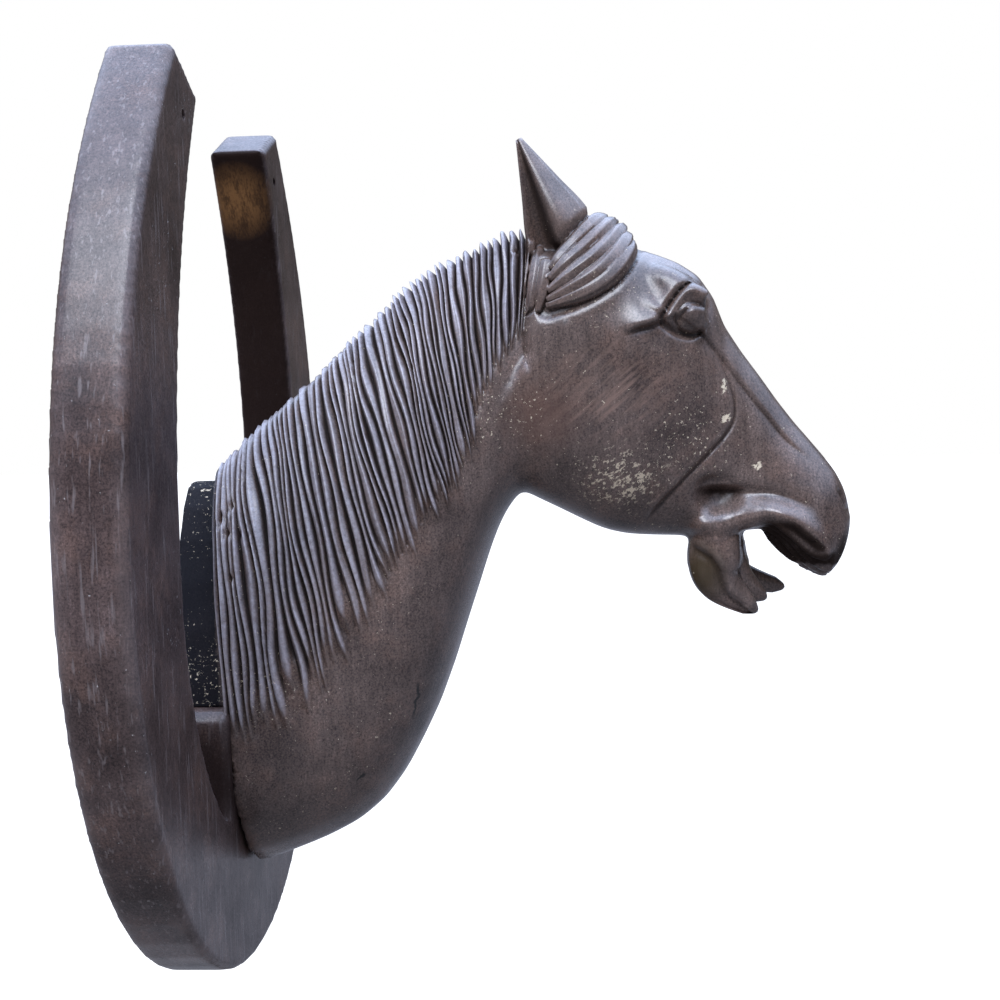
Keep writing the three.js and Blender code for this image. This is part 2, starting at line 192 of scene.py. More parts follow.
# Carved lines of the face, each through [out, up] points of the side view.
BROW_FOLD = ((163.4, 219.8), (164.9, 222.7), (166.9, 225.6), (169.9, 229.0), (173.5, 230.8), (177.2, 229.6))
UPPER_LID = ((166.2, 219.2), (168.2, 223.8), (171.2, 226.9), (174.4, 227.6), (176.8, 225.8))
EYE_SLIT = ((168.8, 219.0), (170.6, 221.2), (172.3, 222.9), (174.5, 223.5), (176.4, 222.4))
EYE_BALL = (173.2, 218.9, 5.2)
SOCKET_RIM = ((162.8, 218.8), (164.8, 216.6), (167.2, 215.0), (170.6, 213.9), (173.4, 213.6), (176.0, 214.6))
TEMPLE_LEDGE = ((164.5, 219.0), (159.8, 217.1), (155.9, 216.2), (150.0, 214.4))
NOSE_LINE = (
    (175.6, 214.6), (178.4, 212.3), (182.3, 208.0), (186.2, 202.7),
    (191.7, 195.6), (198.1, 187.4), (205.0, 178.7), (213.0, 171.8),
)
CHEEK_BEAD = (
    (178.8, 209.4), (182.2, 203.1), (184.6, 197.1), (186.0, 191.5), (185.7, 186.3),
    (182.8, 181.4), (177.4, 175.8), (170.6, 169.0), (163.6, 161.8), (156.5, 153.5),
)
NOSTRIL = (182.0, 161.4, 10.4, 3.6, 8.8)
TROUGH = ((188.0, 162.4), (192.5, 161.8), (197.5, 161.0), (204.0, 159.1), (209.3, 156.6), (213.0, 153.6))
LIP_ROLL = (
    (173.0, 152.5), (177.0, 150.8), (183.1, 149.6), (190.1, 152.1),
    (196.3, 154.8), (201.5, 154.5), (207.5, 152.0), (213.5, 147.0), (217.4, 141.6),
)
CHIN_FOLD = ((172.5, 145.0), (179.5, 140.2), (182.6, 135.2), (183.9, 131.1), (185.6, 127.5), (190.0, 123.6))
FRONT_SLIT = ((222.4, 161.2), (223.9, 158.9), (225.2, 156.1), (225.8, 154.6))


def near_line(line, out, up, steps=40):
    """Distance from a smooth line of the side view, which side of it and the share along it."""
    nearest = np.full(len(out), 1e9)
    hand = np.zeros(len(out))
    share = np.zeros(len(out))
    trace = [[along([p[k] for p in line], i / steps) for k in (0, 1)] for i in range(steps + 1)]
    for i, (a, b) in enumerate(zip(trace, trace[1:])):
        run_out, run_up = b[0] - a[0], b[1] - a[1]
        w = np.clip(((out - a[0]) * run_out + (up - a[1]) * run_up) / (run_out ** 2 + run_up ** 2), 0, 1)
        gap_out, gap_up = out - a[0] - w * run_out, up - a[1] - w * run_up
        gap = np.hypot(gap_out, gap_up)
        nearer = gap < nearest
        nearest = np.where(nearer, gap, nearest)
        hand = np.where(nearer, np.sign(run_out * gap_up - run_up * gap_out), hand)
        share = np.where(nearer, (i + w) / steps, share)
    return nearest, hand, share


def swell(distance, width):
    return np.exp(-(distance / width) ** 2)


def step_over(distance, hand, left, right, reach):
    """A step across a carved line, from a height on its left to one on its right, that dies away."""
    share = (1 + np.tanh(hand * distance / 0.7)) / 2
    return (right + (left - right) * share) * np.exp(-distance / reach)


# The mesh is made finer where the chisel work is.
bm = bmesh.new()
bm.from_mesh(head.data)
centres = np.array([face.calc_center_median() for face in bm.faces]) / MM
c_side, c_out, c_up = np.abs(centres[:, 0]), -centres[:, 1], centres[:, 2] + ORIGIN_UP
chiselled = np.hypot(c_out - 170, c_up - 222) < 15
chiselled |= (c_out > 170) & (c_out < 222) & (c_up > 143) & (c_up < 168)
for line in (NOSE_LINE, CHEEK_BEAD, TEMPLE_LEDGE):
    chiselled |= near_line(line, c_out, c_up, 20)[0] < 3.5
chiselled &= c_side > 6
edges = {edge for face, wanted in zip(bm.faces, chiselled) if wanted for edge in face.edges}
bmesh.ops.subdivide_edges(bm, edges=list(edges), cuts=1, use_grid_fill=True)
bmesh.ops.triangulate(bm, faces=[face for face in bm.faces if len(face.verts) > 4])
bm.to_mesh(head.data)
bm.free()

side, out, up = points_of(head.data)
facing = normals_of(head.data)
relief = np.zeros(len(side))

# Eye: the ball between two lids, under an overhanging brow, with a ledge back to the temple.
d, hand, share = near_line(BROW_FOLD, out, up)
relief += np.where(hand > 0, 1.5 * swell(d, 5.5), 0.0) * ramp(share, 0, 0.15)
relief -= 1.7 * swell(d, 1.1)
relief += 1.3 * swell(near_line(UPPER_LID, out, up)[0], 2.2)
relief -= 0.9 * swell(near_line(EYE_SLIT, out, up)[0], 0.75)
ball = np.hypot(out - EYE_BALL[0], (up - EYE_BALL[1]) * 1.05) / EYE_BALL[2]
relief += 2.2 * np.sqrt(np.clip(1 - ball ** 2, 0, 1))
relief -= 1.5 * swell(near_line(SOCKET_RIM, out, up)[0], 1.2)
d, hand, share = near_line(TEMPLE_LEDGE, out, up)
fade = (1 - ramp(share, 0.6, 1)) * (0.35 + 0.65 * ramp(share, 0, 0.2))
relief += step_over(d, hand, -1.8, 2.2, 6) * fade
relief -= 0.6 * swell(d, 1.2) * fade

# Nose and cheek: a low edge beside the nose bone, and a thin bead round the edge of the cheek.
d, hand, share = near_line(NOSE_LINE, out, up)
fade = 1 - ramp(share, 0.8, 1)
relief -= (0.3 + 1.0 * (1 - ramp(share, 0.0, 0.22))) * swell(d, 0.7) * fade
relief += step_over(d, hand, 0.75, -0.75, 3.5) * fade
d, hand, share = near_line(CHEEK_BEAD, out, up)
fade = ramp(share, 0, 0.3) * (1 - ramp(share, 0.93, 1))
relief += (0.45 * swell(d, 0.8) - np.where(hand > 0, 0.55, 0.15) * swell(d - 1.5, 0.6)) * fade
relief += np.where(hand < 0, 0.8, -0.7) * np.exp(-d / 4.5) * ramp(d, 0, 1.2) * fade

# Muzzle: a deep comma of a nostril, a trough in front of it and the thick rolled lip.
reach_up = np.where(up > NOSTRIL[1], NOSTRIL[3], NOSTRIL[4])
away = np.hypot((out - NOSTRIL[0]) / NOSTRIL[2], (up - NOSTRIL[1]) / reach_up)
relief -= 4.6 * (1 - ramp(away, 0.1, 1.0))
d, _, share = near_line(TROUGH, out, up)
relief -= 1.9 * swell(d, 2.6) * (1 - ramp(share, 0.55, 1))
d, _, share = near_line(LIP_ROLL, out, up)
relief += 1.5 * swell(d, 3.2) * ramp(share, 0, 0.12)
relief += 1.5 * swell(np.hypot(out - 177.3, up - 151.6), 4.5)
relief += 0.6 * swell(np.hypot(out - 202, up - 155), 5)
relief -= 0.8 * swell(np.hypot(out - 189, up - 150.5), 3.5)

# Jaw: a fold between the chin and the lip that hangs beside the mouth.
d, hand, share = near_line(CHIN_FOLD, out, up)
relief += step_over(d, hand, 0.6, -0.8, 3.5) * ramp(share, 0, 0.12) * (up < 147)
relief *= ramp(np.abs(facing[:, 0]), 0.15, 0.5) * ramp(np.abs(side), 4, 8)

# Teeth: ribs along the roof of the open mouth. The nose has a slit on each side of its front.
roof = ramp(-facing[:, 2], 0.1, 0.5) * ramp(out, 196, 201) * (1 - ramp(up, 149, 153)) * (out < 219)
ribs = 0.9 * np.sin(2 * math.pi * side / 4.6) * roof
d, _, _ = near_line(FRONT_SLIT, out, up)
ribs -= 1.5 * swell(d, 1.0) * ramp(np.abs(side), 4, 6) * (1 - ramp(np.abs(side), 11, 14))

moved = np.column_stack((side + np.sign(side) * relief, -out, up - ORIGIN_UP)) + facing * ribs[:, None]
head.data.vertices.foreach_set("co", (moved * MM).astype(np.float32).ravel())
head.data.update()

# Ears: leaf-shaped, with a sharp ridge on the outer face and a long hollow that opens backwards.
EAR = (
    (14.0, 135.0, 238.0, 6.4), (15.0, 130.8, 250.5, 6.7),
    (15.5, 125.0, 264.0, 3.9), (15.0, 118.3, 279.3, 0.6),
)
EAR_DEPTH = 1.7
EAR_OUTLINE = (
    (1.0, 0.0), (0.62, 0.52), (0.2, 1.0), (-0.2, 0.9), (-0.34, 0.2), (-0.66, -0.08), (-1.0, 0.2),
    (-0.9, -0.25), (-0.45, -0.75), (0.1, -0.9), (0.6, -0.6), (1.0, 0.0),
)


def ear_axis(s):
    return [along([p[k] for p in EAR], s) for k in range(4)]


def sleeve(sides, steps, point_at):
    """A closed bmesh whose points are given by the share along it and the share round it."""
    bm = bmesh.new()
    bmesh.ops.create_grid(bm, x_segments=sides, y_segments=steps, size=0.5)
    for vert in bm.verts:
        vert.co = point_at(vert.co.y + 0.5, vert.co.x + 0.5)
    bmesh.ops.remove_doubles(bm, verts=bm.verts, dist=1e-6)
    bmesh.ops.holes_fill(bm, edges=bm.edges, sides=0)
    return bm


def ear_point(hand, s, turn):
    axis_side, axis_out, axis_up, radius = ear_axis(s)
    ahead, behind = ear_axis(min(s + 0.02, 1)), ear_axis(max(s - 0.02, 0))
    lean = math.atan2(behind[1] - ahead[1], ahead[2] - behind[2])
    deep, across = (along([p[k] for p in EAR_OUTLINE], turn) for k in (0, 1))
    deep *= radius * EAR_DEPTH
    return place(
        hand * (axis_side + across * radius),
        axis_out + deep * math.cos(lean),
        axis_up + deep * math.sin(lean),
    )


side, out, up = points_of(head.data)
table = np.array([ear_axis(s) for s in np.linspace(0, 1, 60)])
axis_side, axis_out = (np.interp(up, table[:, 2], table[:, k]) for k in (0, 1))
in_ear = ramp(up, 240, 246) * (np.abs(np.abs(side) - axis_side) < 9) * (np.abs(out - axis_out) < 14)
in_ear *= ramp(np.abs(side), 5.5, 7.5) * np.where(side < 0, 1 - ramp(out, 138, 142) * (up < 256), 1)
shrunk_side = side + (np.sign(side) * (axis_side - 1.5) - side) * 0.92 * in_ear
shrunk_out = out + (axis_out + 1 - out) * 0.92 * in_ear
shrunk_up = up - 5 * ramp(up, 262, 280) * in_ear
moved = np.column_stack((shrunk_side, -shrunk_out, shrunk_up - ORIGIN_UP))
head.data.vertices.foreach_set("co", (moved * MM).astype(np.float32).ravel())
head.data.update()
for hand in (-1, 1):
    combine(head, sleeve(36, 26, lambda s, turn: ear_point(hand, s, turn)))

# Forelock: locks swept back from the forehead under the near ear, each with fine grooves.
FORELOCK_TOP = ((146.0, 254.0), (139.0, 247.6), (132.5, 241.0), (128.0, 236.0))
FORELOCK_MIDDLE = ((152.0, 250.6), (145.0, 241.6), (135.5, 234.6), (127.0, 229.0))
FORELOCK_LOW = ((154.6, 244.6), (149.4, 235.2), (140.0, 228.4), (126.5, 224.2))
FORELOCK_RADII = (3.6, 3.5, 3.1, 2.5, 1.1)
FORELOCK_LOCKS = 5
POLL_LOCKS = (
    ((115.5, 249.0), (115.0, 238.0), (114.0, 226.0), (113.0, 216.0)),
    ((118.5, 248.5), (117.8, 238.0), (116.6, 227.0), (115.4, 217.0)),
    ((121.5, 246.5), (120.6, 238.0), (119.2, 228.0), (117.8, 219.0)),
    ((124.3, 243.5), (123.4, 236.0), (122.0, 228.5), (120.6, 221.0)),
    ((127.0, 239.5), (126.2, 233.5), (125.0, 228.0), (123.6, 222.5)),
)
POLL_RADII = (2.0, 2.4, 2.2, 0.9)


def lock(centres, radius_at, sides=32):
    """A closed lock of hair or flesh round a line of centres, each by side, out and up."""
    last = len(centres) - 1

    def point(s, turn):
        i = round(s * last)
        run = (centres[min(i + 1, last)] - centres[max(i - 1, 0)]).normalized()
        across = run.cross(Vector((-1, 0, 0))).normalized()
        outward = across.cross(run)
        angle = 2 * math.pi * turn
        radius = radius_at(s, angle)
        return place(*(centres[i] + across * radius * math.sin(angle) + outward * radius * math.cos(angle)))

    return sleeve(sides, last, point)


def laid_on_head(line, radii, steps=22):
    """Points of a line of the side view laid on the head, sunk by part of the lock's radius."""
    tree = BVHTree.FromObject(head, bpy.context.evaluated_depsgraph_get())
    centres = []
    for i in range(steps + 1):
        s = i / steps
        line_out, line_up = (along([p[k] for p in line], s) for k in (0, 1))
        spot = tree.ray_cast(place(-80, line_out, line_up), Vector((1, 0, 0)))[0]
        spot_side = spot.x / MM + 0.62 * along(radii, s) if spot else -2
        centres.append(Vector((min(spot_side, -2.0), line_out, line_up)))
    for _ in range(6):
        centres[1:-1] = [(a + 2 * b + c) / 4 for a, b, c in zip(centres, centres[1:], centres[2:])]
    return centres


def grooved(radii, turns, blunt_from):
    """The radius of a lock with fine grooves cut along it."""
    def radius_at(s, angle):
        blunt = min(1, blunt_from + 5 * s) ** 0.5
        grooves = 1 + 0.05 * math.cos(7 * angle + turns) + 0.03 * math.cos(12 * angle + 2 * turns)
        return along(radii, s) * blunt * grooves
    return radius_at


forelock = []
for k in range(FORELOCK_LOCKS):
    share = k / (FORELOCK_LOCKS - 1)
    line = [
        [along((a[i], b[i], c[i]), share) for i in (0, 1)]
        for a, b, c in zip(FORELOCK_TOP, FORELOCK_MIDDLE, FORELOCK_LOW)
    ]
    forelock.append((laid_on_head(line, FORELOCK_RADII), FORELOCK_RADII, 0.25))
for line in POLL_LOCKS:
    forelock.append((laid_on_head(line, POLL_RADII), POLL_RADII, 0.6))
side, out, up = points_of(head.data)
under = np.minimum.reduce([
    near_line(line, out, up, 12)[0] for line in (FORELOCK_TOP, FORELOCK_MIDDLE, FORELOCK_LOW)
])
swell_out(head, -1.8 * (1 - ramp(under, 2.5, 5.5)) * (side < -1))
for k, (centres, radii, blunt_from) in enumerate(forelock):
    combine(head, lock(centres, grooved(radii, k, blunt_from)))

# Lower jaw: three tongues of wood that hang from the corner of the mouth.
JAW_LOBES = (
    ((-6, 182, 151, 8), (-6.5, 181.2, 139, 9.4), (-7, 183.4, 130.5, 7.4), (-7.5, 195.5, 120.6, 2.4)),
    ((0, 183, 151, 8), (0, 184, 140, 9), (-1, 190, 131, 6), (-1, 199.5, 124, 2.1)),
    ((6, 183, 151, 8), (6.5, 183.5, 139, 8.6), (7, 191, 131.5, 5.4), (7, 207, 126.8, 2.3)),
)
JAW_STEPS = 60


def lobe_radius(lobe, s, angle):
    rounded_end = min(1, (1 - s) / 0.1) ** 0.5
    return along([p[3] for p in lobe], s) * rounded_end * (1 - 0.04 * math.cos(4 * angle))


side, out, up = points_of(head.data)
swell_out(head, -1.2 * (1 - ramp(up, 132, 138)) * ramp(out, 170, 176) * (out < 211))
for lobe in JAW_LOBES:
    shares = [i / JAW_STEPS for i in range(JAW_STEPS + 1)]
    centres = [Vector([along([p[k] for p in lobe], s) for k in range(3)]) for s in shares]
    combine(head, lock(centres, lambda s, angle: lobe_radius(lobe, s, angle), 56))
side, out, up = points_of(head.data)
facing = normals_of(head.data)
d, hand, share = near_line(CHIN_FOLD, out, up)
fold = step_over(d, hand, 0.3, -2.6, 8) * ramp(share, 0, 0.1) - 0.3 * swell(d, 1.3)
fold *= (up < 147) * (out < 194) * ramp(np.abs(facing[:, 0]), 0.2, 0.6) * ramp(np.abs(side), 4, 8)
moved = np.column_stack((side + np.sign(side) * fold, -out, up - ORIGIN_UP))
head.data.vertices.foreach_set("co", (moved * MM).astype(np.float32).ravel())
head.data.update()

# Mane: locks cut side by side with a narrow gouge, from the crest to a ragged lower edge.
NECK_CREST = ((12, 172), (32, 191), (52, 208), (71, 224), (88.5, 237), (105, 245), (121, 250))
NECK_FRONT = ((22.5, 34.5), (61.5, 52.2), (83.5, 85.3), (97.7, 123.7), (105, 145), (110, 156), (116, 164))
NECK_HALF_WIDTHS = (37, 37.5, 35.5, 32, 28.5, 25.5, 22.5)
MANE_END = (0.65, 0.63, 0.62, 0.66, 0.68, 0.5, 0.37)
MANE_CREST_HEIGHTS = (2.0, 2.0, 1.6, 1.2, 1.6, 2.4, 2.6, 4.2, 3.8, 2.8, 3.0, 4.0, 2.6)
MANE_LOCKS = 52
MANE_SINK = 3.0
MANE_ROOT = -4.2
MANE_WAVES = 4


def neck_point(t, v):
    """A point of the mane's side of the neck, at share t from wall to poll and v below the crest."""
    crest_out, crest_up = (along([p[k] for p in NECK_CREST], t) for k in (0, 1))
    front_out, front_up = (along([p[k] for p in NECK_FRONT], t) for k in (0, 1))
    down = abs(v)
    rounding = (1 - abs(2 * down - 1) ** 2.2) ** (1 / 2.2)
    reach = along(NECK_HALF_WIDTHS, t) * rounding * (0.66 + 0.5 * down)
    return place(
        -math.copysign(reach, v),
        crest_out + (front_out - crest_out) * down,
        crest_up + (front_up - crest_up) * down,
    )


def neck_normal(t, v):
    step = 0.008
    forward = neck_point(min(t + step, 1), v) - neck_point(max(t - step, 0), v)
    downward = neck_point(t, v + step) - neck_point(t, v - step)
    return downward.cross(forward).normalized()


def neck_sheet(columns, rows, lift, beyond):
    """A grid over the mane's part of the neck, with its t and v kept on its points."""
    bm = bmesh.new()
    t_layer = bm.verts.layers.float.new("t")
    v_layer = bm.verts.layers.float.new("v")
    bmesh.ops.create_grid(bm, x_segments=columns, y_segments=rows, size=0.5)
    for vert in bm.verts:
        t = vert.co.x + 0.5
        fall = (vert.co.y + 0.5) ** 1.25
        v = -0.07 + (along(MANE_END, t) + beyond + 0.07) * fall
        if abs(v) < 1e-4:
            v = 1e-4
        vert[t_layer] = t
        vert[v_layer] = v
        vert.co = neck_point(t, v) + neck_normal(t, v) * lift * MM
    return bm, t_layer, v_layer


# The neck is sunk under the mane first, so that the gouge's grooves can go below its surface.
bare_neck, t_layer, v_layer = neck_sheet(120, 64, 0.0, 0.2)
bare_neck.normal_update()
cells = [
    [sum(vert[layer] for vert in face.verts) / len(face.verts) for layer in (t_layer, v_layer)]
    for face in bare_neck.faces
]
bare_tree = BVHTree.FromBMesh(bare_neck)
bare_neck.free()
for vert in head.data.vertices:
    if vert.co.x > 0.014 or -vert.co.y > 0.122:
        continue
    spot, normal, cell, distance = bare_tree.find_nearest(vert.co)
    if distance > 6 * MM or abs((vert.co - spot).dot(normal)) < 0.93 * distance - 0.2 * MM:
        continue
    t, v = cells[cell]
    end = along(MANE_END, t)
    sink = MANE_SINK * (1 - ramp(v, end - 0.09, end - 0.01)) * ramp(v, -0.07, -0.045) * ramp(1 - t, 0.0, 0.04)
    held = 1 - ramp(v, end + 0.1, end + 0.19)
    vert.co = vert.co.lerp(spot - neck_normal(t, v) * sink * MM, held)

wander = np.random.default_rng(7)
lock_widths = wander.uniform(0.6, 1.45, MANE_LOCKS) * np.linspace(0.7, 1.4, MANE_LOCKS)
lock_edges = np.concatenate(([0], np.cumsum(lock_widths)))
lock_edges /= lock_edges[-1]
lock_height = wander.uniform(0.7, 1.15, MANE_LOCKS)
lock_length = wander.uniform(-0.05, 0.035, MANE_LOCKS)
lock_lean = wander.uniform(0.36, 0.64, MANE_LOCKS)
lock_flatness = wander.uniform(0.55, 1.0, MANE_LOCKS)
wave_turn = wander.uniform(0, 2 * math.pi, MANE_WAVES)
CHIPS = (
    (0.03, 0.13, 0.012, 2.2), (0.045, 0.17, 0.010, 2.0), (0.06, 0.12, 0.011, 1.6), (0.05, 0.28, 0.008, 1.4),
    (0.075, 0.2, 0.008, 1.4), (0.03, 0.36, 0.007, 1.2), (0.94, 0.06, 0.012, 1.8), (0.55, 0.24, 0.006, 1.2),
)

bm, t_layer, v_layer = neck_sheet(MANE_LOCKS * 9, 60, MANE_ROOT, 0.05)
rise_layer = bm.verts.layers.float.new("mane_rise")
groove_layer = bm.verts.layers.float.new("mane_groove")
made = bmesh.ops.extrude_face_region(bm, geom=list(bm.faces))
for vert in (g for g in made["geom"] if isinstance(g, bmesh.types.BMVert)):
    t, v = vert[t_layer], vert[v_layer]
    end = along(MANE_END, t)
    sway = sum(
        math.sin(v * (7 + 6 * k) + t * (17 + 13 * k) + wave_turn[k]) / (1 + k) for k in range(MANE_WAVES)
    )
    sway += 0.7 * math.sin(61 * t + 13 * v) + 0.5 * math.sin(97 * t - 21 * v + 2)
    here = min(max(t + 0.0036 * sway * min(max(v, 0) / 0.1, 1), 0.0005), 0.9995)
    k = int(np.searchsorted(lock_edges, here)) - 1
    across = (here - lock_edges[k]) / (lock_edges[k + 1] - lock_edges[k])
    lean = lock_lean[k]
    across = across / lean * 0.5 if across < lean else 0.5 + (across - lean) / (1 - lean) * 0.5
    crown = math.sin(math.pi * across) ** lock_flatness[k]
    tip = end + lock_length[k] + 0.07 * (crown - 0.7)
    fade = float(ramp(tip - v, 0, 0.075))
    at_front = float(ramp(1 - t, 0.0, 0.03))
    edge = min(max((v + 0.07) / 0.03, 0), 1)
    at_crest = max(1 - abs(v) / 0.09, 0)
    ridge = lock_height[k] * (1.6 + 0.35 * math.sin(17 * v + 2.4 * k))
    ridge += (along(MANE_CREST_HEIGHTS, t) - 1.6) * at_crest
    strand = 0.25 * math.sin(2 * 2 * math.pi * across + 9 * v + k)
    height = -1.6 + (ridge + strand + 1.6) * crown
    for chip_t, chip_v, reach, depth in CHIPS:
        away = math.hypot(t - chip_t, (v - chip_v) * 0.9) / reach
        if away < 1.6:
            ragged = 1 + 0.3 * math.sin(9 * math.atan2(v - chip_v, t - chip_t))
            height -= depth * max(1 - (away * ragged) ** 2, 0)
    height = height * fade * edge * at_front - 1.0 * (1 - edge) - 0.5 * float(ramp(v - tip, -0.01, 0.03))
    height -= 2.0 * (1 - at_front)
    vert[rise_layer] = min(max((height + 0.9) / 2.6, 0), 1) * fade * at_front
    vert[groove_layer] = (1 - crown) * fade * edge * at_front
    vert.co = neck_point(t, v) + neck_normal(t, v) * max(height, -3.4) * MM
combine(head, bm)


def thin_out(piece, most):
    """Takes out points where the surface is nearly flat, until no more than so many triangles are left."""
    count = sum(len(face.vertices) - 2 for face in piece.data.polygons)
    if count > most:
        thinning = piece.modifiers.new("thinned", "DECIMATE")
        thinning.ratio = most / count
        settle(piece)


def keep_wear_and_shade(mesh, rounds):
    """Stores from 0 to 1 how deep in a hollow and how proud on an edge each point is."""
    count = len(mesh.vertices)
    side, out, up = points_of(mesh)
    co = np.column_stack((side, -out, up))
    facing = normals_of(mesh)
    ends = np.empty(len(mesh.edges) * 2, np.int32)
    mesh.edges.foreach_get("vertices", ends)
    a, b = ends[::2], ends[1::2]
    step = co[b] - co[a]
    length = np.maximum(np.linalg.norm(step, axis=1), 0.05)
    rise = np.bincount(a, (step * facing[a]).sum(1) / length, count)
    rise -= np.bincount(b, (step * facing[b]).sum(1) / length, count)
    links = np.maximum(np.bincount(a, minlength=count) + np.bincount(b, minlength=count), 1)
    rise /= links
    for _ in range(rounds):
        around = np.bincount(a, rise[b], count) + np.bincount(b, rise[a], count)
        rise = 0.4 * rise + 0.6 * around / links
    for name, values in (("hollow", rise), ("proud", -rise)):
        layer = mesh.attributes.new(name, "FLOAT", "POINT")
        layer.data.foreach_set("value", np.clip(values / 0.22, 0, 1).astype(np.float32))


# How hollow or proud each point is, what lies behind the neck, and where the mouth's roof and the ears'
# hollows are, is kept for the stain's wear and for painted shade in the hollows, behind the neck and inside
# the mouth and ears.
keep_wear_and_shade(head.data, 3)
side, out, up = points_of(head.data)
(crest_out, crest_up), (front_out, front_up) = NECK_CREST[0], NECK_FRONT[0]
rear_out = crest_out + (crest_up - up) * (front_out - crest_out) / (crest_up - front_up)
behind = head.data.attributes.new("behind", "FLOAT", "POINT")
behind.data.foreach_set("value", ramp(rear_out - out, -0.6, 0.6).astype(np.float32))
facing = normals_of(head.data)
roof = ramp(-facing[:, 2], 0.0, 0.35) * ramp(out, 193, 199) * (1 - ramp(up, 151, 154)) * (up > 137)
ear_hollow = ramp(facing[:, 1], 0.25, 0.6) * ramp(up, 238, 243) * (np.abs(side) > 6)
inside = head.data.attributes.new("inside", "FLOAT", "POINT")
inside.data.foreach_set("value", np.maximum(roof, 0.9 * ear_hollow).astype(np.float32))
thin_out(head, HEAD_MOST_TRIANGLES)


def add_node(tree, kind, inputs=None, **settings):
    """A shader node with its settings and inputs, each input a value or a socket to link."""
    node = tree.nodes.new(kind)
    for name, value in settings.items():
        setattr(node, name, value)
    for name, value in (inputs or {}).items():
        socket = node.inputs[name]
        if isinstance(value, bpy.types.NodeSocket):
            tree.links.new(value, socket)
        else:
            socket.default_value = value
    return node


def new_group(name, inputs, outputs):
    """A node group with its group input and output nodes."""
    tree = bpy.data.node_groups.new(name, "ShaderNodeTree")
    for way, sockets in (("INPUT", inputs), ("OUTPUT", outputs)):
        for socket, kind in sockets:
            tree.interface.new_socket(socket, in_out=way, socket_type="NodeSocket" + kind)
    return tree, tree.nodes.new("NodeGroupInput").outputs, tree.nodes.new("NodeGroupOutput").inputs


def place_group(tree, group, inputs):
    node = tree.nodes.new("ShaderNodeGroup")
    node.node_tree = group
    for name, value in inputs.items():
        if isinstance(value, bpy.types.NodeSocket):
            tree.links.new(value, node.inputs[name])
        else:
            node.inputs[name].default_value = value
    return node.outputs


def maths(tree, operation, a, b=0.0, clamp=False):
    return add_node(tree, "ShaderNodeMath", {0: a, 1: b}, operation=operation, use_clamp=clamp).outputs[0]


def blend(tree, share, a, b, kind="MIX"):
    """One colour mixed into another by a share."""
    node = tree.nodes.new("ShaderNodeMix")
    node.data_type = "RGBA"
    node.blend_type = kind
    for name, value in (("Factor_Float", share), ("A_Color", a), ("B_Color", b)):
        socket = next(s for s in node.inputs if s.identifier == name)
        if isinstance(value, bpy.types.NodeSocket):
            tree.links.new(value, socket)
        else:
            socket.default_value = value
    return next(s for s in node.outputs if s.identifier == "Result_Color")


def spread(tree, value, low, high, to_low=0.0, to_high=1.0):
    """A value taken from one range to another and held inside it."""
    return add_node(tree, "ShaderNodeMapRange", {
        "Value": value, "From Min": low, "From Max": high, "To Min": to_low, "To Max": to_high,
    }).outputs["Result"]


# Long grain: streaks that run up the wood, and short open pores along them.
grain, at, result = new_group(
    "long_grain", (("Vector", "Vector"),), (("Streak", "Float"), ("Pore", "Float")),
)
stretch = add_node(grain, "ShaderNodeMapping", {"Vector": at["Vector"], "Scale": (1, 1, 0.06)}).outputs[0]
streak = add_node(grain, "ShaderNodeTexNoise", {
    "Vector": stretch, "Scale": 260.0, "Detail": 5.0, "Roughness": 0.6, "Distortion": 0.3,
}).outputs["Fac"]
fine_at = add_node(grain, "ShaderNodeMapping", {"Vector": at["Vector"], "Scale": (1, 1, 0.05)}).outputs[0]
fine_streak = add_node(grain, "ShaderNodeTexNoise", {
    "Vector": fine_at, "Scale": 1500.0, "Detail": 2.0, "Roughness": 0.6,
}).outputs["Fac"]
both = maths(grain, "ADD", maths(grain, "MULTIPLY", streak, 0.6), maths(grain, "MULTIPLY", fine_streak, 0.4))
grain.links.new(spread(grain, both, 0.38, 0.62), result["Streak"])
pore_at = add_node(grain, "ShaderNodeMapping", {"Vector": at["Vector"], "Scale": (1, 1, 0.07)}).outputs[0]
pore = add_node(grain, "ShaderNodeTexNoise", {
    "Vector": pore_at, "Scale": 800.0, "Detail": 2.0, "Roughness": 0.5,
}).outputs["Fac"]
grain.links.new(spread(grain, pore, 0.6, 0.7), result["Pore"])

# Dust and chips: small pale specks, thicker in patches.
dust, at, result = new_group(
    "dust_specks", (("Vector", "Vector"), ("Amount", "Float")), (("Speck", "Float"), ("Bloom", "Float")),
)
crumb = add_node(dust, "ShaderNodeTexNoise", {
    "Vector": at["Vector"], "Scale": 850.0, "Detail": 4.0, "Roughness": 0.72,
}).outputs["Fac"]
patch = add_node(dust, "ShaderNodeTexNoise", {
    "Vector": at["Vector"], "Scale": 24.0, "Detail": 3.0,
}).outputs["Fac"]
chance = maths(dust, "MULTIPLY", at["Amount"], spread(dust, patch, 0.35, 0.7, 0.3, 1.7))
excess = maths(dust, "ADD", crumb, maths(dust, "MULTIPLY", chance, 0.35))
dust.links.new(spread(dust, excess, 0.735, 0.765), result["Speck"])
bloom = add_node(dust, "ShaderNodeTexNoise", {
    "Vector": at["Vector"], "Scale": 700.0, "Detail": 4.0, "Roughness": 0.7,
}).outputs["Fac"]
dust.links.new(spread(dust, bloom, 0.36, 0.72), result["Bloom"])
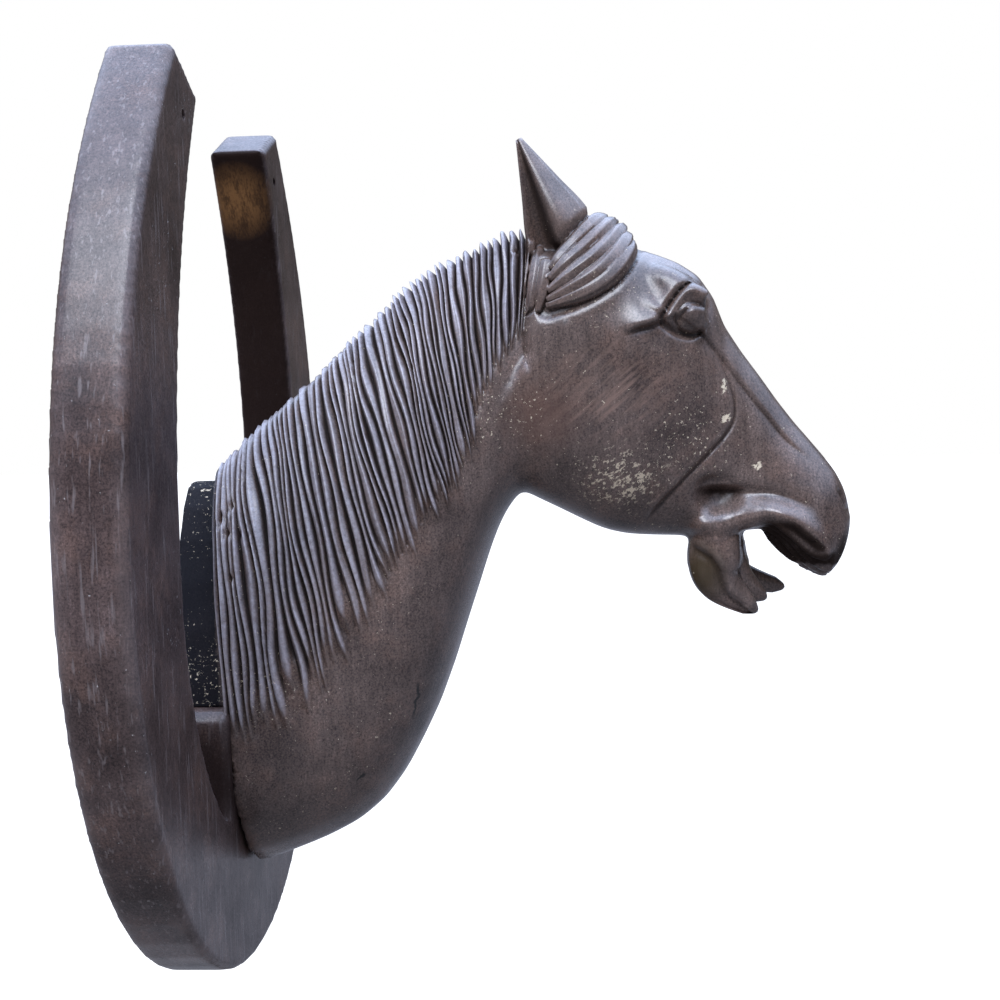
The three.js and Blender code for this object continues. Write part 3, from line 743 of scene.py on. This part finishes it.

# Old stain: rubbed thin and dry on what stands proud and cloudy all over, with painted shade that darkens the
# hollows.
stain, at, result = new_group(
    "old_stain_and_hollow_shade",
    (("Vector", "Vector"), ("Dark", "Color"), ("Stain", "Color"), ("Rubbed", "Color"),
     ("Hollow", "Float"), ("Proud", "Float"), ("Streak", "Float")),
    (("Color", "Color"), ("Roughness", "Float")),
)
cloud = add_node(stain, "ShaderNodeTexNoise", {
    "Vector": at["Vector"], "Scale": 34.0, "Detail": 6.0, "Roughness": 0.62,
}).outputs["Fac"]
tone = maths(stain, "MULTIPLY", spread(stain, cloud, 0.3, 0.7), spread(stain, at["Streak"], 0, 1, 0.6, 1.2))
colour = blend(stain, tone, at["Dark"], at["Stain"])
ruddy = add_node(stain, "ShaderNodeTexNoise", {
    "Vector": at["Vector"], "Scale": 70.0, "Detail": 5.0, "Roughness": 0.7,
}).outputs["Fac"]
colour = blend(stain, spread(stain, ruddy, 0.48, 0.72, 0.0, 0.35), colour, (0.16, 0.088, 0.062, 1))
grit = add_node(stain, "ShaderNodeTexNoise", {
    "Vector": at["Vector"], "Scale": 1500.0, "Detail": 3.0, "Roughness": 0.7,
}).outputs["Fac"]
colour = blend(stain, 1.0, colour, spread(stain, grit, 0.3, 0.7, 0.35, 1.7), "MULTIPLY")
wear = maths(stain, "MULTIPLY", at["Proud"], spread(stain, cloud, 0.36, 0.6, 0.25, 1.0))
colour = blend(stain, maths(stain, "MULTIPLY", wear, 0.6), colour, at["Rubbed"])
# Painted shade: the hollows are darkened nearly to black.
colour = blend(stain, spread(stain, at["Hollow"], 0.05, 0.7, 0.0, 0.8), colour, (0.007, 0.004, 0.003, 1))
stain.links.new(colour, result["Color"])
polish = spread(stain, cloud, 0.3, 0.7, 0.36, 0.24)
uneven = maths(stain, "ADD", polish, spread(stain, grit, 0.3, 0.7, 0.06, -0.06))
stain.links.new(uneven, result["Roughness"])


def spot_mask(tree, vector, centre, reach, core=0.3):
    """A soft patch round a point, with a reach in mm to the side, out and up. A reach of 0 has no end."""
    from_centre = {0: vector, 1: place(*centre)}
    shift = add_node(tree, "ShaderNodeVectorMath", from_centre, operation="SUBTRACT").outputs[0]
    shares = [1000 / r if r else 0.0 for r in reach]
    squeezed = add_node(tree, "ShaderNodeVectorMath", {0: shift, 1: shares}, operation="MULTIPLY").outputs[0]
    distance = add_node(tree, "ShaderNodeVectorMath", {0: squeezed}, operation="LENGTH").outputs["Value"]
    return spread(tree, distance, 1.0, core)


def crack_mask(tree, vector, centre, length, lean):
    """A thin crooked crack on the mane's side, leaning from upright by an angle."""
    from_centre = {0: vector, 1: place(*centre)}
    shift = add_node(tree, "ShaderNodeVectorMath", from_centre, operation="SUBTRACT").outputs[0]
    turned = add_node(tree, "ShaderNodeMapping", {
        "Vector": shift, "Rotation": (math.radians(lean), 0, 0),
    }, vector_type="TEXTURE").outputs[0]
    way = add_node(tree, "ShaderNodeSeparateXYZ", {0: turned}).outputs
    crook = add_node(tree, "ShaderNodeTexNoise", {
        "Vector": vector, "Scale": 170.0, "Detail": 3.0,
    }).outputs["Fac"]
    offset = maths(tree, "ADD", way["Y"], spread(tree, crook, 0.3, 0.7, -0.0014, 0.0014))
    across = spread(tree, maths(tree, "ABSOLUTE", offset), 0.0008, 0.0003)
    within = spread(tree, maths(tree, "ABSOLUTE", way["Z"]), length * MM, 0.6 * length * MM)
    near_side = add_node(tree, "ShaderNodeSeparateXYZ", {0: vector}).outputs["X"]
    on_side = spread(tree, near_side, 0.0, -0.005)
    return maths(tree, "MULTIPLY", maths(tree, "MULTIPLY", across, within), on_side)


horse_wood = bpy.data.materials.new("stained_carved_wood")
horse_wood.use_nodes = True
tree = horse_wood.node_tree
shader = tree.nodes["Principled BSDF"]
spot = add_node(tree, "ShaderNodeTexCoord").outputs["Object"]
hollow, proud, mane_height, mane_groove, block, inside = (
    add_node(tree, "ShaderNodeAttribute", attribute_name=name).outputs["Fac"]
    for name in ("hollow", "proud", "mane_rise", "mane_groove", "behind", "inside")
)
fibre = place_group(tree, grain, {"Vector": spot})
stained = place_group(tree, stain, {
    "Vector": spot, "Dark": (0.031, 0.02, 0.0165, 1), "Stain": (0.122, 0.084, 0.069, 1),
    "Rubbed": (0.17, 0.125, 0.105, 1), "Hollow": hollow, "Proud": proud, "Streak": fibre["Streak"],
})
specks = place_group(tree, dust, {"Vector": spot, "Amount": maths(
    tree, "ADD", maths(tree, "MULTIPLY", block, 0.06), 0.2)})
colour = stained["Color"]

# Dry grey bloom on the mane's locks, and a lighter grey-lilac on their ridge tops that is painted sheen.
dry_share = spread(tree, specks["Bloom"], 0, 1, 0.35, 0.9)
dry_bloom_and_sheen = maths(tree, "MULTIPLY", spread(tree, mane_height, 0.3, 0.95), dry_share)
colour = blend(tree, dry_bloom_and_sheen, colour, (0.31, 0.28, 0.3, 1))
# Painted shade: the gouge grooves between the locks are darkened nearly to black.
colour = blend(tree, spread(tree, mane_groove, 0.25, 0.8, 0.0, 0.93), colour, (0.008, 0.005, 0.004, 1))
# Painted shade: the nostril, the roof of the mouth and the hollow of each ear are darkened.
nostril = spot_mask(tree, spot, (0, 182, 161), (0, 9.5, 4.6), 0.2)
shaded = maths(tree, "MAXIMUM", inside, maths(tree, "MULTIPLY", nostril, 0.75))
colour = blend(tree, maths(tree, "MULTIPLY", shaded, 0.85), colour, (0.014, 0.008, 0.0055, 1))

# Brown strokes where the cheek was rubbed through, and an olive cast on the chin.
stroke_at = add_node(tree, "ShaderNodeMapping", {
    "Vector": spot, "Rotation": (math.radians(-40), 0, 0), "Scale": (1, 7, 0.7),
}, vector_type="TEXTURE").outputs[0]
stroke = add_node(tree, "ShaderNodeTexNoise", {
    "Vector": stroke_at, "Scale": 330.0, "Detail": 4.0, "Roughness": 0.65,
}).outputs["Fac"]
cheek = spot_mask(tree, spot, (0, 146, 195), (0, 30, 20))
rubbed = maths(tree, "MULTIPLY", spread(tree, stroke, 0.46, 0.66), cheek)
colour = blend(tree, maths(tree, "MULTIPLY", rubbed, 0.7), colour, (0.2, 0.125, 0.095, 1))
ruddy = spot_mask(tree, spot, (0, 124, 188), (0, 16, 14))
colour = blend(tree, maths(tree, "MULTIPLY", ruddy, 0.4), colour, (0.13, 0.065, 0.045, 1))
olive = spot_mask(tree, spot, (0, 176, 134), (0, 10, 14))
colour = blend(tree, maths(tree, "MULTIPLY", olive, 0.8), colour, (0.04, 0.027, 0.011, 1))

# The plain block behind the neck is nearly black: dark wood, painted darker still as the shade between the
# board and the neck.
colour = blend(tree, maths(tree, "MULTIPLY", block, 0.96), colour, (0.005, 0.005, 0.007, 1))

# Pale ground that shows through chips on the jaw and the nose, dust all over, and two drying cracks.
CHIP_SPOTS = ((149.5, 168.0, 21.0, 15.0, 0.8), (184.3, 186.7, 2.6, 2.6, 1.7), (184.0, 196.9, 1.8, 4.0, 1.4),
              (195.0, 170.5, 2.6, 2.0, 1.6))
flakes = 0.0
for chip_out, chip_up, reach_out, reach_up, amount in CHIP_SPOTS:
    patch = spot_mask(tree, spot, (0, chip_out, chip_up), (0, reach_out, reach_up))
    flakes = maths(tree, "ADD", maths(tree, "MULTIPLY", patch, amount), flakes)
flake_at = add_node(tree, "ShaderNodeMapping", {
    "Vector": spot, "Rotation": (math.radians(-35), 0, 0), "Scale": (1, 1.7, 1),
}, vector_type="TEXTURE").outputs[0]
flake_noise = add_node(tree, "ShaderNodeTexNoise", {
    "Vector": flake_at, "Scale": 800.0, "Detail": 4.0, "Roughness": 0.7,
}).outputs["Fac"]
bare = spread(tree, maths(tree, "ADD", flake_noise, maths(tree, "MULTIPLY", flakes, 0.12)), 0.635, 0.665)
pale = maths(tree, "MAXIMUM", specks["Speck"], maths(tree, "MULTIPLY", bare, flakes))
colour = blend(tree, maths(tree, "MULTIPLY", pale, 0.9), colour, (0.56, 0.46, 0.33, 1))
cracks = maths(tree, "ADD", crack_mask(tree, spot, (0, 80.5, 95.5), 7.5, 14), crack_mask(
    tree, spot, (0, 62.3, 70.3), 2.2, 40), clamp=True)
colour = blend(tree, cracks, colour, (0.006, 0.004, 0.003, 1))
tree.links.new(colour, shader.inputs["Base Color"])
unpolished = maths(tree, "ADD", block, shaded)
dull = maths(tree, "ADD", maths(tree, "ADD", pale, mane_groove), unpolished, clamp=True)
rough = maths(tree, "ADD", stained["Roughness"], maths(tree, "MULTIPLY", dull, 0.45), clamp=True)
tree.links.new(rough, shader.inputs["Roughness"])
height = maths(tree, "ADD", maths(tree, "MULTIPLY", fibre["Streak"], 0.6), specks["Bloom"])
height = maths(tree, "SUBTRACT", height, maths(tree, "MULTIPLY", cracks, 2.0))
bump = add_node(tree, "ShaderNodeBump", {"Strength": 0.13, "Distance": 0.0004, "Height": height})
tree.links.new(bump.outputs["Normal"], shader.inputs["Normal"])
shader.inputs["Specular IOR Level"].default_value = 0.1

# The wax is rubbed on by hand, so it misses hollows, grooves, chips and the block.
missed = maths(tree, "ADD", hollow, maths(tree, "MULTIPLY", olive, 0.7))
bare_wood = maths(tree, "ADD", dull, missed, clamp=True)
wax = spread(tree, stained["Roughness"], 0.22, 0.40, 1.0, 0.6)
wax = maths(tree, "MULTIPLY", wax, maths(tree, "SUBTRACT", 1.0, bare_wood))
tree.links.new(wax, shader.inputs["Coat Weight"])
shader.inputs["Coat Roughness"].default_value = 0.26

head.data.shade_smooth()
head.data.materials.clear()
head.data.materials.append(horse_wood)
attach(head, "root")
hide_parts("horse_head")

# Horseshoe board
# One flat board sawn to a horseshoe, with a tongue in its toe that the neck is fastened to and a
# nail hole through each branch. Its edges are rounded over by hand.
NAIL_HOLE = (60, 281, 1.6)
BOARD_MESH = 1.25
BOARD_SWELL = 0.45
board = copy_of_solid("horseshoe", "horseshoe_board")
remesh(board, BOARD_MESH)
work_down(board, np.ones(len(board.data.vertices)), 2)
swell_out(board, np.full(len(board.data.vertices), BOARD_SWELL))
for hand in (-1, 1):
    drill = bmesh.new()
    middle = Matrix.Translation(place(hand * NAIL_HOLE[0], 10, NAIL_HOLE[1]))
    bmesh.ops.create_cone(
        drill, cap_ends=True, segments=20, radius1=NAIL_HOLE[2] * MM, radius2=NAIL_HOLE[2] * MM, depth=0.1,
        matrix=middle @ Matrix.Rotation(math.pi / 2, 4, "X"),
    )
    combine(board, drill, "DIFFERENCE")
keep_wear_and_shade(board.data, 3)
side, out, up = points_of(board.data)
inward = -normals_of(board.data)[:, 0] * np.sign(side)
opening = board.data.attributes.new("opening", "FLOAT", "POINT")
opening.data.foreach_set("value", (ramp(inward, 0.35, 0.75) * (up > 60)).astype(np.float32))
board.data.shade_smooth()
board.data.set_sharp_from_angle(angle=math.radians(50))

board_wood = bpy.data.materials.new("stained_board_wood")
board_wood.use_nodes = True
tree = board_wood.node_tree
shader = tree.nodes["Principled BSDF"]
spot = add_node(tree, "ShaderNodeTexCoord").outputs["Object"]
hollow, proud, sawn = (
    add_node(tree, "ShaderNodeAttribute", attribute_name=name).outputs["Fac"]
    for name in ("hollow", "proud", "opening")
)
fibre = place_group(tree, grain, {"Vector": spot})
stained = place_group(tree, stain, {
    "Vector": spot, "Dark": (0.024, 0.014, 0.012, 1), "Stain": (0.088, 0.058, 0.051, 1),
    "Rubbed": (0.17, 0.135, 0.125, 1), "Hollow": hollow, "Proud": proud, "Streak": fibre["Streak"],
})
colour = blend(tree, maths(tree, "MULTIPLY", fibre["Pore"], 0.45), stained["Color"], (0.2, 0.165, 0.155, 1))
specks = place_group(tree, dust, {"Vector": spot, "Amount": 0.16})
colour = blend(tree, maths(tree, "MULTIPLY", specks["Speck"], 0.7), colour, (0.46, 0.43, 0.40, 1))

# The sawn faces of the opening and the tongue took a darker, redder stain, thin at one heel; their near-black
# colour is also painted shade where the near branch and the neck keep the light off.
tongue = spot_mask(tree, spot, (0, 10, 74), (56, 0, 30), 0.7)
dark = maths(tree, "MAXIMUM", maths(tree, "MULTIPLY", sawn, 0.95), maths(tree, "MULTIPLY", tongue, 0.85))
colour = blend(tree, dark, colour, (0.011, 0.005, 0.0035, 1))
thin = maths(tree, "MULTIPLY", spot_mask(tree, spot, (49, 8, 271), (14, 16, 17)), spread(
    tree, fibre["Streak"], 0.1, 0.7, 0.3, 0.85))
colour = blend(tree, thin, colour, (0.2, 0.095, 0.035, 1))
tree.links.new(colour, shader.inputs["Base Color"])
rough = maths(tree, "ADD", stained["Roughness"], maths(tree, "MULTIPLY", dark, 0.45), clamp=True)
tree.links.new(rough, shader.inputs["Roughness"])
pore_depth = maths(tree, "MULTIPLY", fibre["Pore"], -0.6)
height = maths(tree, "ADD", maths(tree, "MULTIPLY", fibre["Streak"], 0.9), pore_depth)
height = maths(tree, "ADD", height, maths(tree, "MULTIPLY", specks["Bloom"], 0.5))
bump = add_node(tree, "ShaderNodeBump", {"Strength": 0.15, "Distance": 0.0004, "Height": height})
tree.links.new(bump.outputs["Normal"], shader.inputs["Normal"])
shader.inputs["Specular IOR Level"].default_value = 0.08
wax = spread(tree, stained["Roughness"], 0.22, 0.40, 0.6, 0.35)
wax = maths(tree, "MULTIPLY", wax, maths(tree, "SUBTRACT", 1.0, dark, clamp=True))
tree.links.new(wax, shader.inputs["Coat Weight"])
shader.inputs["Coat Roughness"].default_value = 0.3
board.data.materials.clear()
board.data.materials.append(board_wood)
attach(board, "root")
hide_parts("horseshoe")

# Floor, light and camera
# A plain pale floor under the plaque in a white studio, with soft cool light from above and a
# little warm light from below.
FLOOR_SIZE = 6.0
floor_mesh = bpy.data.meshes.new("floor")
bm = bmesh.new()
bmesh.ops.create_grid(bm, x_segments=1, y_segments=1, size=FLOOR_SIZE)
bmesh.ops.translate(bm, verts=bm.verts, vec=(0, 0, cad_box[0][2] - 0.12))
bm.to_mesh(floor_mesh)
bm.free()
floor = bpy.data.objects.new("floor", floor_mesh)
bpy.context.scene.collection.objects.link(floor)
floor_paint = bpy.data.materials.new("pale_floor")
floor_paint.use_nodes = True
shader = floor_paint.node_tree.nodes["Principled BSDF"]
shader.inputs["Base Color"].default_value = (0.16, 0.14, 0.125, 1)
shader.inputs["Roughness"].default_value = 1.0
shader.inputs["Specular IOR Level"].default_value = 0.0
shader.inputs["Emission Color"].default_value = (1, 1, 1, 1)
seen = add_node(floor_paint.node_tree, "ShaderNodeLightPath").outputs["Is Camera Ray"]
floor_paint.node_tree.links.new(seen, shader.inputs["Emission Strength"])
floor_mesh.materials.append(floor_paint)

world = bpy.data.worlds.new("studio")
bpy.context.scene.world = world
world.use_nodes = True
tree = world.node_tree
way = add_node(tree, "ShaderNodeSeparateXYZ", {0: add_node(tree, "ShaderNodeTexCoord").outputs["Generated"]})
sky = blend(tree, spread(tree, way.outputs["Z"], 0.3, 0.9), (0.13, 0.115, 0.105, 1), (3.1, 3.9, 5.6, 1))
sky = blend(tree, spread(tree, way.outputs["Z"], 0.0, -0.5), sky, (0.1, 0.075, 0.06, 1))
seen = add_node(tree, "ShaderNodeLightPath").outputs["Is Camera Ray"]
tree.links.new(blend(tree, seen, sky, (1, 1, 1, 1)), tree.nodes["Background"].inputs["Color"])
tree.nodes["Background"].inputs["Strength"].default_value = 1.0


def add_light(name, position, target, size, energy, colour):
    data = bpy.data.lights.new(name, "AREA")
    data.shape = "DISK"
    data.size = size
    data.energy = energy
    data.color = colour
    light = bpy.data.objects.new(name, data)
    light.location = position
    light.rotation_euler = (Vector(target) - Vector(position)).to_track_quat("-Z", "Y").to_euler()
    bpy.context.scene.collection.objects.link(light)


add_light("sky", (-0.75, 0.1, 1.0), (0, -0.1, 0.15), 0.7, 12.5, (0.92, 0.96, 1.04))

CAMERA_PLACE = (-450.6, 133.2, 193.4)
YAW, PITCH, ROLL = (math.radians(a) for a in (3.13, -4.26, -1.38))
looking = Vector((math.cos(PITCH) * math.cos(YAW), math.cos(PITCH) * math.sin(YAW), math.sin(PITCH)))
level = looking.cross(Vector((0, 0, 1))).normalized()
upright = level.cross(looking)
right = level * math.cos(ROLL) + upright * math.sin(ROLL)
top = upright * math.cos(ROLL) - level * math.sin(ROLL)
camera_data = bpy.data.cameras.new("camera")
camera_data.sensor_width = 36.0
camera_data.lens = 47.07
camera_data.clip_start = 0.01
camera = bpy.data.objects.new("camera", camera_data)
turn = Matrix((right, top, -looking)).transposed().to_4x4()
camera.matrix_world = Matrix.Translation(place(*CAMERA_PLACE)) @ turn
bpy.context.scene.collection.objects.link(camera)
bpy.context.scene.camera = camera
bpy.context.scene.view_settings.view_transform = "Standard"
